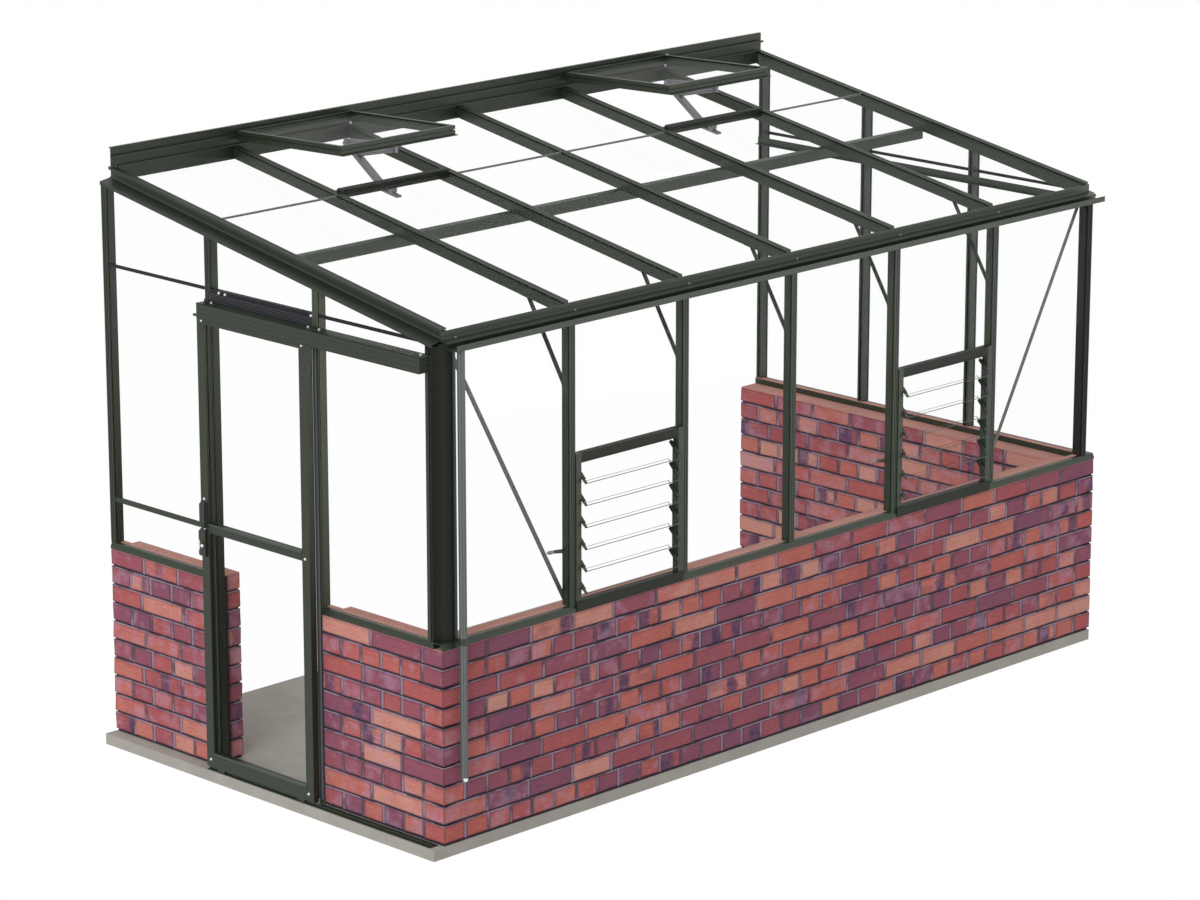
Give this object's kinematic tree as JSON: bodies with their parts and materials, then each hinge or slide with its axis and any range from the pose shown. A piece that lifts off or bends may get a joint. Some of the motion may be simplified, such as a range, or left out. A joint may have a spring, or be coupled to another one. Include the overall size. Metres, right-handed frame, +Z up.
{
  "type": "lean-to greenhouse",
  "caption": "Lean-to greenhouse with a dark green glazing frame on a brick dwarf wall, a sliding end door, open roof vents and louvre windows",
  "frame": {"origin": "middle of the brick outline, on the underside of the base slab", "axes": "+X along the front from the door end to the far end, +Y from the front to the house wall, +Z up"},
  "size_m": [3.92, 1.993, 2.4498],
  "materials": {
    "concrete": "smooth cast concrete",
    "brick": "mixed red and plum facing bricks with grey mortar",
    "frame_paint": "satin dark green-grey paint",
    "glass": "clear",
    "dark_fittings": "satin",
    "opener_metal": "satin",
    "pipe_plastic": "satin"
  },
  "bodies": {
    "house": {"floor_slab": "concrete", "front_wall": "brick", "right_end_wall": "brick", "left_end_wall_front": "brick", "left_end_wall_rear": "brick", "front_sill": "frame_paint", "right_end_sill": "frame_paint", "left_end_sills": "frame_paint", "front_mullions": "frame_paint", "front_corner_posts": "frame_paint", "rear_posts": "frame_paint", "left_end_mullions": "frame_paint", "right_end_mullions": "frame_paint", "eaves_beam": "frame_paint", "gutter": "frame_paint", "wall_plate": "frame_paint", "rafters": "frame_paint", "end_rafters": "frame_paint", "purlin": "frame_paint", "knee_braces": "frame_paint", "diagonal_braces": "frame_paint", "right_end_tie_rail": "frame_paint", "door_head": "frame_paint", "glazing_strips": "frame_paint", "vent_slam_bars": "frame_paint", "vent_side_bars": "frame_paint", "vent_rails": "frame_paint", "louvre_stiles": "frame_paint", "louvre_rails": "frame_paint", "door_top_track": "frame_paint", "door_bottom_track": "frame_paint", "front_glass": "glass", "left_end_glass": "glass", "right_end_glass": "glass", "roof_glass": "glass", "vent_glass": "glass", "louvre_blades": "glass", "louvre_carriers": "dark_fittings", "louvre_levers": "dark_fittings", "vent_openers": "opener_metal", "downpipe": "pipe_plastic", "downpipe_clip": "pipe_plastic"},
    "door": {"door_stiles": "frame_paint", "door_rails": "frame_paint", "door_glass": "glass", "door_lock": "dark_fittings", "door_rollers": "dark_fittings"}
  },
  "joints": [
    {"name": "door_slide", "type": "slide", "parent": "house", "child": "door", "axis": [0, -1, 0], "range_m": [0, 0.6]}
  ]
}
